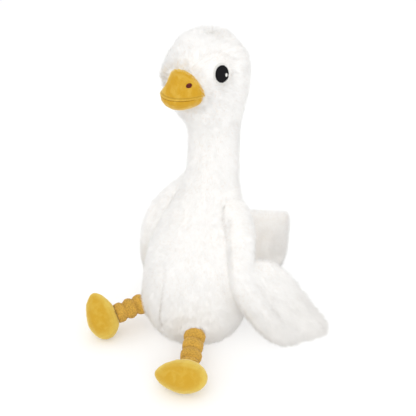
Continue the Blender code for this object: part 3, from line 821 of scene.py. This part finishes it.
class GOOSE_OT_body(bpy.types.Operator):
    """Make the stuffed body, neck and head with their pile"""

    bl_idname = "goose.body"
    bl_label = "Body"

    def execute(self, context):
        s = settings()
        skin = even_copy("body", "body_skin", s.backing_voxel, 1)
        put_points(skin.data, slope_crown(points_of(skin.data)))
        bills = ("upper_bill", "lower_bill")
        sewn_on = tree_of("left_wing", "right_wing", "tail", "left_leg", "right_leg", *bills)
        co, n = points_of(skin.data), normals_of(skin.data)
        free = smoothstep(0.5 * MM, 7 * MM, distances(sewn_on, co))
        free *= smoothstep(0, 12 * MM, co[:, 2])
        by_eye = smoothstep(0.95, 1.5, eye_rings(co))
        pile = s.pile_length * math.cos(s.pile_lean)
        socket = s.eye_depth + np.where(co[:, 0] > 0, 0.7, 3.8) * MM
        depth = (socket + (pile - socket) * by_eye) * free
        stuff(skin, s.cloth_cap, free * by_eye)
        moved = points_of(skin.data)
        put_points(skin.data, moved - n * depth[:, None])
        subdivide(skin)
        refine(skin, (BELLY_SEAM, BROW_FOLD, CHEST_FOLD, CHIN_FOLD, NECK_SEAM), 7 * MM)
        refine(skin, (BELLY_SEAM, BROW_FOLD), 4 * MM)
        crease(skin, BELLY_SEAM, 4.5 * MM, 3.0 * MM)
        crease(skin, BELLY_FOLD, 1.8 * MM, 3.2 * MM)
        crease(skin, BROW_FOLD, 3.6 * MM, 3.0 * MM)
        crease(skin, mirrored(BROW_FOLD), 1.5 * MM, 3.6 * MM)
        crease(skin, NECK_SEAM, 1.2 * MM, 3 * MM)
        crease(skin, CHEST_FOLD, 0.9 * MM, 4 * MM)
        crease(skin, CHIN_FOLD, 1.6 * MM, 4 * MM)
        crease(skin, BILL_TUFT, -2.5 * MM, 5 * MM)
        for line in (SHOULDER_TOP, mirrored(SHOULDER_TOP)):
            crease(skin, line, -2.0 * MM, 6 * MM)
        co, n = points_of(skin.data), normals_of(skin.data)
        sewn = distances(sewn_on, co)
        bill = distances(tree_of(*bills), co)
        # Painted shade in the crevices where the wings, legs, tail and bill are sewn on, fading out over the
        # shoulders; a little more round the bill, and a painted shadow on the chin under the bill.
        crevice_shade = 0.8 * smoothstep(2.2 * MM, 0.8 * MM, sewn) * smoothstep(0.176, 0.150, co[:, 2])
        crevice_shade += 0.14 * falloff(bill, 7 * MM)
        crevice_shade += 0.50 * falloff(np.linalg.norm(co - CHIN_SHADOW, axis=1), 10 * MM)
        mark(skin, "seam", np.clip(crevice_shade + 1.2 * seam_shade_marks(co), 0, 1))
        paint(skin, shared_material("knitted_polyester_backing", plush_backing))
        fit_out(skin, "white_plush", "body")

        # The pile is brushed down, and on the head back from the bill.
        eye = eye_rings(co)
        from_bill = co - np.array(BILL_MIDDLE)
        down = comb_towards(n, (0.0, 0.0, -1.0))
        back = comb_towards(n, from_bill)
        head = smoothstep(0.262, 0.300, co[:, 2])[:, None]
        behind = smoothstep(0.045, 0.080, np.linalg.norm(from_bill, axis=1))[:, None]
        comb = down * (1 - head) + (back + 1.5 * down * behind) * head
        density = s.pile_density * 1e6 * smoothstep(0.25 * MM, 0.7 * MM, sewn) * smoothstep(0.93, 1.0, eye)
        # There is none on the flat underside.
        density *= np.maximum(smoothstep(-0.97, -0.88, n[:, 2]), smoothstep(6 * MM, 14 * MM, co[:, 2]))
        density *= co[:, 2] > 0.6 * MM
        for line, part in ((BELLY_SEAM, 1.6), (BROW_FOLD, 1.4)):
            far, away = line_offsets(line, co)
            comb = comb + away * (part * falloff(far, 4 * MM))[:, None]
        far, _ = line_offsets(BELLY_SEAM, co)
        open_end = smoothstep(0.085, 0.050, co[:, 2])
        density *= smoothstep(0.4 * MM + 0.9 * MM * open_end, 1.0 * MM + 1.3 * MM * open_end, far)
        far, _ = line_offsets(BROW_FOLD, co)
        density *= smoothstep(0.4 * MM, 1.5 * MM, far)
        for side in ("left", "right"):
            inward = eye_middle(side) - co
            near = falloff(np.linalg.norm(inward, axis=1), 15 * MM, 6)
            comb = comb + unit(inward) * (0.9 * near)[:, None]
        comb = comb_towards(n, comb)
        # The pile stands up between the bill and the right eye, and is long over the shoulders.
        tuft = falloff(line_offsets(FAR_TUFT, co)[0], 7 * MM, 4)
        over = falloff(line_offsets(BILL_TUFT, co)[0], 6 * MM)
        shoulders = (SHOULDER_TOP, mirrored(SHOULDER_TOP))
        shoulder = sum(falloff(line_offsets(line, co)[0], 8 * MM) for line in shoulders)
        by_bill = 0.5 + 0.5 * smoothstep(1 * MM, 9 * MM, bill)
        by_eye = 0.62 + 0.38 * smoothstep(1.0, 1.6, eye)
        lean = s.pile_lean * np.minimum(by_bill, by_eye) * (1 - 0.65 * tuft)
        reach = s.pile_length * (0.45 + 0.55 * smoothstep(0.98, 1.6, eye))
        reach *= 0.8 + 0.2 * smoothstep(0, 8 * MM, sewn) + 0.25 * over + 0.3 * shoulder
        reach = np.maximum(reach, 1.05 * s.pile_length * tuft)
        fur = shared_material("brushed_polyester_plush", plush_pile)
        upper = smoothstep(0.256, 0.268, co[:, 2])
        lower = 1 - smoothstep(0.114, 0.126, co[:, 2])
        shares = (("head_pile", upper), ("neck_pile", 1 - upper - lower), ("torso_pile", lower))
        for i, (name, share) in enumerate(shares):
            seed = s.pile_seed + 10 * i
            pile = grow_pile(name, skin, density * share, comb, lean, reach, fur, seed, seam_shade_marks)
            fit_out(pile, "white_plush")
        return {"FINISHED"}


def padded_paddle(node, way, seams, seed, ruffle=1.0):
    """A wing or the tail: stuffed, with its seams pressed in and its pile brushed one way. A seam is
    a line with its depth and width, and ruffle is how much the pile bunches."""
    s = settings()
    skin = even_copy(node, node + "_skin", PADDLE_GRID, 1)
    body = tree_of("body")
    co, n = points_of(skin.data), normals_of(skin.data)
    joined = distances(body, co)
    free = smoothstep(0.5 * MM, 7 * MM, joined)
    stuff(skin, s.cloth_cap * 0.7, free * smoothstep(0, 6 * MM, co[:, 2]))
    pile = 0.7 * s.pile_length * math.cos(s.pile_lean)
    put_points(skin.data, points_of(skin.data) - n * (pile * free)[:, None])
    subdivide(skin)
    if seams:
        refine(skin, [line for line, _, _ in seams], 6 * MM)
    for line, depth, width in seams:
        crease(skin, line, depth, width)
    co, n = points_of(skin.data), normals_of(skin.data)
    joined = distances(body, co)
    # Painted shade in the crevice where it is sewn to the body, fading out over the shoulder.
    mark(skin, "seam", 0.6 * smoothstep(2.2 * MM, 0.8 * MM, joined) * smoothstep(0.175, 0.150, co[:, 2]))
    paint(skin, shared_material("knitted_polyester_backing", plush_backing))
    fit_out(skin, "white_plush", node)
    comb = comb_towards(n, way)
    density = s.pile_density * 1e6 * smoothstep(0.3 * MM, 0.9 * MM, joined) * PADDLE_SHARE
    for line, _, _ in seams:
        far, away = line_offsets(line, co)
        comb = comb + away * (1.1 * falloff(far, 4 * MM))[:, None]
        density = density * smoothstep(0.1 * MM, 0.7 * MM, far)
    comb = comb_towards(n, comb)
    fur = shared_material("brushed_polyester_plush", plush_pile)

    # Painted shade along its seams, by the arm and at the wing tip.
    def shade_marks(co):
        dark = arm_shade_marks(co) + tip_shade_marks(co)
        for line, _, _ in seams:
            dark += 0.16 * falloff(line_offsets(line, co)[0], 1.3 * MM)
        return dark

    seed += s.pile_seed
    lean, reach = s.pile_lean, s.pile_length
    pile = grow_pile(node + "_pile", skin, density, comb, lean, reach, fur, seed, shade_marks, ruffle)
    fit_out(pile, "white_plush")


class GOOSE_OT_wings(bpy.types.Operator):
    """Make both wings, a rolled arm with a flatter blade behind it"""

    bl_idname = "goose.wings"
    bl_label = "Wings"

    def execute(self, context):
        for node, side, seed in (("left_wing", 1, 40), ("right_wing", -1, 50)):
            low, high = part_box(node)
            tip = np.array((high.x if side > 0 else low.x, high.y, low.z))
            fold, seam = WING_FOLD, WING_TIP_SEAM
            if side < 0:
                fold, seam = mirrored(fold), mirrored(seam)
            seams = ((fold, 1.8 * MM, 3.5 * MM), (seam, 2.0 * MM, 2.2 * MM))
            padded_paddle(node, tip - np.array(SHOULDER) * (side, 1, 1), seams, seed)
        return {"FINISHED"}


class GOOSE_OT_tail(bpy.types.Operator):
    """Make the padded tail that turns up behind"""

    bl_idname = "goose.tail"
    bl_label = "Tail"

    def execute(self, context):
        low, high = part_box("tail")
        way = (0.0, high.y - low.y, high.z - low.z)
        padded_paddle("tail", way, (), 60, 0.35)
        return {"FINISHED"}


class GOOSE_OT_bill(bpy.types.Operator):
    """Make the two halves of the stuffed velvet bill"""

    bl_idname = "goose.bill"
    bl_label = "Bill"

    def execute(self, context):
        s = settings()
        velvet = cotton_velvet("bill_cotton_velvet", s.bill, s.bill_sheen, 0.3)
        for node, seed in (("upper_bill", 3.1), ("lower_bill", 5.7)):
            piece = even_copy(node, node + "_velvet", 0.0007, 2)
            co, n = points_of(piece.data), normals_of(piece.data)
            brushed = 0
            if node == "upper_bill":
                # It is topstitched along its lip. Painted sheen makes it lighter where it turns away from the
                # camera, and a little along its lip.
                co = press_far_side(co)
                lip = distances(tree_of("lower_bill"), co, 0.02)
                stitched = falloff(lip - 2.8 * MM, 0.55 * MM)
                co -= n * (0.6 * MM * stitched)[:, None]
                mark(piece, "stitched", 0.45 * stitched)
                brushed = smoothstep(0.75, -0.15, n @ unit(np.array((0.55, -0.80, 0.20))))
                brushed = np.maximum(brushed, 0.3 * smoothstep(5 * MM, 1 * MM, lip))
            put_points(piece.data, co)
            mark(piece, "brushed", brushed)
            rumple(piece, s.nap_depth * 1.2, 12 * MM, seed)
            rumple(piece, s.nap_depth * 0.5, 4 * MM, seed + 2)
            paint(piece, velvet)
            fit_out(piece, "yellow_velvet", node)
        return {"FINISHED"}


class GOOSE_OT_face(bpy.types.Operator):
    """Make the embroidered eyes and nostrils"""

    bl_idname = "goose.face"
    bl_label = "Eyes and nostrils"

    def execute(self, context):
        s = settings()
        for side in ("left", "right"):
            # light is how bright the painted gloss along each thread is.
            for part, slot, code, light, across, sink in (
                ("eye_white", "white_thread", s.eye_white, 1.03, EYE_ROWS, 0.25 * MM),
                ("pupil", "black_thread", s.pupil, 1.3, EYE_ROWS, -0.1 * MM),
                ("eye_light", "white_thread", s.eye_white, 1.03, EYE_ROWS, -0.2 * MM),
                ("nostril", "maroon_thread", s.nostril, 1.5, (0.5, -0.5, 0.8), 0.5 * MM - s.eye_depth),
            ):
                name = f"{part}_satin_stitch"
                across = Vector(across).normalized()
                thread = shared_material(name, lambda: satin_stitch(name, code, across, light))
                node = f"{side}_{part}"
                piece = even_copy(node, node + "_stitch", 0.30 * MM, 1)
                middle = middle_of(node)
                co = middle + (points_of(piece.data) - middle) * {"pupil": 1.07, "nostril": 1.15}.get(part, 1)
                if part == "nostril":
                    if side == "right":
                        co = co + np.array((-2.3, 0.4, -2.9)) * MM
                    co = press_far_side(co)
                else:
                    co = place_eye(side, co)
                # The stitching pulls the cloth in, so the pile stands round it. The right eye is
                # pulled deeper, and the photograph shows nothing of it.
                deeper = 3.1 * MM if side == "right" and part != "nostril" else 0
                put_points(piece.data, co - eye_way(side) * (s.eye_depth + sink + deeper))
                paint(piece, thread)
                fit_out(piece, slot, node)
        return {"FINISHED"}


class GOOSE_OT_legs(bpy.types.Operator):
    """Make the gathered legs"""

    bl_idname = "goose.legs"
    bl_label = "Legs"

    def execute(self, context):
        cords = gathered_corduroy()
        for node, seed in (("left_leg", 1.3), ("right_leg", 8.9)):
            piece = even_copy(node, node + "_corduroy", 0.0008, 1)
            if node == "left_leg":
                co = points_of(piece.data)
                share = smoothstep(30 * MM, 0, distances(tree_of("left_foot"), co))
                put_points(piece.data, settle_left_foot(co, share))
            mark_hollow_shade(piece, 1.2 * MM, 30)
            rumple(piece, 0.7 * MM, 7 * MM, seed)
            rumple(piece, 0.4 * MM, 2.2 * MM, seed + 4)
            paint(piece, cords)
            fit_out(piece, "gold_corduroy", node)
        return {"FINISHED"}


class GOOSE_OT_feet(bpy.types.Operator):
    """Make the stuffed velvet feet"""

    bl_idname = "goose.feet"
    bl_label = "Feet"

    def execute(self, context):
        s = settings()
        velvet = cotton_velvet("foot_cotton_velvet", s.foot, s.foot_sheen, 0.3)
        for node, seed in (("left_foot", 2.2), ("right_foot", 6.4)):
            piece = even_copy(node, node + "_velvet", 0.0012, 3)
            n = normals_of(piece.data)
            if node == "left_foot":
                put_points(piece.data, settle_left_foot(points_of(piece.data)))
            # Painted sheen: the foot is lighter where it turns away from the front and the top.
            mark(piece, "brushed", smoothstep(0.95, 0.35, n @ unit(np.array((0.35, -0.65, 0.60)))))
            rumple(piece, s.nap_depth * 1.6, 11 * MM, seed)
            rumple(piece, s.nap_depth * 0.7, 4 * MM, seed + 3)
            paint(piece, velvet)
            fit_out(piece, "yellow_velvet", node)
        return {"FINISHED"}


class GOOSE_OT_stage(bpy.types.Operator):
    """Set the floor, the studio light and the camera"""

    bl_idname = "goose.stage"
    bl_label = "Stage"

    def execute(self, context):
        s = settings()
        scene = context.scene
        bm = bmesh.new()
        bmesh.ops.create_grid(bm, x_segments=1, y_segments=1, size=3)
        bmesh.ops.translate(bm, verts=bm.verts, vec=(0, 0, -0.2 * MM))
        mesh = bpy.data.meshes.new("floor")
        bm.to_mesh(mesh)
        bm.free()
        floor = new_piece("floor", mesh)
        # Where it is seen, the paper gives off part of its light, which softens its shadows.
        material, tree, _ = start_material("matt_white_paper")
        path = add(tree, "ShaderNodeLightPath")
        seen = {0: path["Is Camera Ray"], 1: path["Is Glossy Ray"]}
        seen = add(tree, NUMBERS, seen, operation="MAXIMUM")[0]
        seen = add(tree, NUMBERS, {0: seen, 1: path["Is Transmission Ray"]}, operation="MAXIMUM")[0]
        glow = add(tree, NUMBERS, {0: seen, 1: 0.22}, operation="MULTIPLY")[0]
        paper = add(tree, MIX, {0: seen, 6: rgba(s.floor), 7: rgba(s.floor, 0.84)}, **COLOURS)[2]
        looks = {"Base Color": paper, "Roughness": 0.9, "Specular IOR Level": 0.0}
        finish_material(tree, {**looks, "Emission Color": (1, 1, 1, 1), "Emission Strength": glow})
        paint(floor, material)

        world = bpy.data.worlds.new("studio")
        scene.world = world
        world.use_nodes = True
        tree = world.node_tree
        tree.nodes.clear()
        sky = add(tree, "ShaderNodeBackground", {"Color": (1, 1, 1, 1), "Strength": 1.0})
        add(tree, "ShaderNodeOutputWorld", {"Surface": sky[0]})

        middle = Vector((0, 0, 0.15))
        for name, place, size, power in (
            ("key", (0.20, -0.95, 1.30), 0.9, 1.5),
            ("front_fill", (1.05, -0.80, 0.80), 0.9, 2.6),
            ("right_fill", (1.20, -0.35, 0.70), 0.9, 1.2),
            ("side_fill", (-1.00, -0.70, 0.80), 0.9, 1.2),
            ("rim", (-0.50, 1.00, 1.10), 0.8, 1.2),
        ):
            lamp = bpy.data.lights.new(name, "AREA")
            lamp.shape, lamp.size, lamp.energy = "DISK", size, power
            light = bpy.data.objects.new(name, lamp)
            light.location = place
            light.rotation_euler = (middle - Vector(place)).to_track_quat("-Z", "Y").to_euler()
            scene.collection.objects.link(light)

        # The camera was matched to the photograph: 43 degrees round to the goose's left, 0.62 m up,
        # with a focal length of 812 pixels for a picture 416 pixels wide.
        turn, pitch, swing = math.radians(43), math.radians(30.7), math.radians(0.58)
        right = Vector((math.cos(turn), math.sin(turn), 0))
        towards = Vector((math.sin(turn), -math.cos(turn), 0))
        level = right * math.sin(swing) - towards * math.cos(swing)
        ahead = (level * math.cos(pitch) - Vector((0, 0, math.sin(pitch)))).normalized()
        side = ahead.cross(Vector((0, 0, 1))).normalized()
        stand = Matrix((side, side.cross(ahead), -ahead)).transposed().to_4x4()
        stand.translation = towards * 0.786 + Vector((0, 0.008, 0.62))
        lens = bpy.data.cameras.new("camera")
        lens.sensor_fit, lens.sensor_width, lens.lens = "HORIZONTAL", 36, 36 * 812 / 416
        lens.clip_start = 0.01
        camera = bpy.data.objects.new("camera", lens)
        camera.matrix_world = stand
        scene.collection.objects.link(camera)
        scene.camera = camera
        scene.view_settings.view_transform = "Standard"
        return {"FINISHED"}


class GOOSE_PT_panel(bpy.types.Panel):
    """The steps that make the goose"""

    bl_idname = "GOOSE_PT_panel"
    bl_label = "Plush Goose"
    bl_space_type = "VIEW_3D"
    bl_region_type = "UI"
    bl_category = "Goose"

    def draw(self, context):
        for key in GooseSettings.__annotations__:
            self.layout.prop(context.scene.goose, key)
        for kind in STEPS:
            self.layout.operator(kind.bl_idname)


STEPS = (
    GOOSE_OT_body,
    GOOSE_OT_wings,
    GOOSE_OT_tail,
    GOOSE_OT_bill,
    GOOSE_OT_face,
    GOOSE_OT_legs,
    GOOSE_OT_feet,
    GOOSE_OT_stage,
)


def register():
    for kind in (GooseSettings, *STEPS, GOOSE_PT_panel):
        bpy.utils.register_class(kind)
    bpy.types.Scene.goose = PointerProperty(type=GooseSettings)


def unregister():
    del bpy.types.Scene.goose
    for kind in (GOOSE_PT_panel, *reversed(STEPS), GooseSettings):
        bpy.utils.unregister_class(kind)


def main():
    register()
    bpy.ops.goose.body()
    bpy.ops.goose.wings()
    bpy.ops.goose.tail()
    bpy.ops.goose.bill()
    bpy.ops.goose.face()
    bpy.ops.goose.legs()
    bpy.ops.goose.feet()
    bpy.ops.goose.stage()


if __name__ == "__main__":
    main()
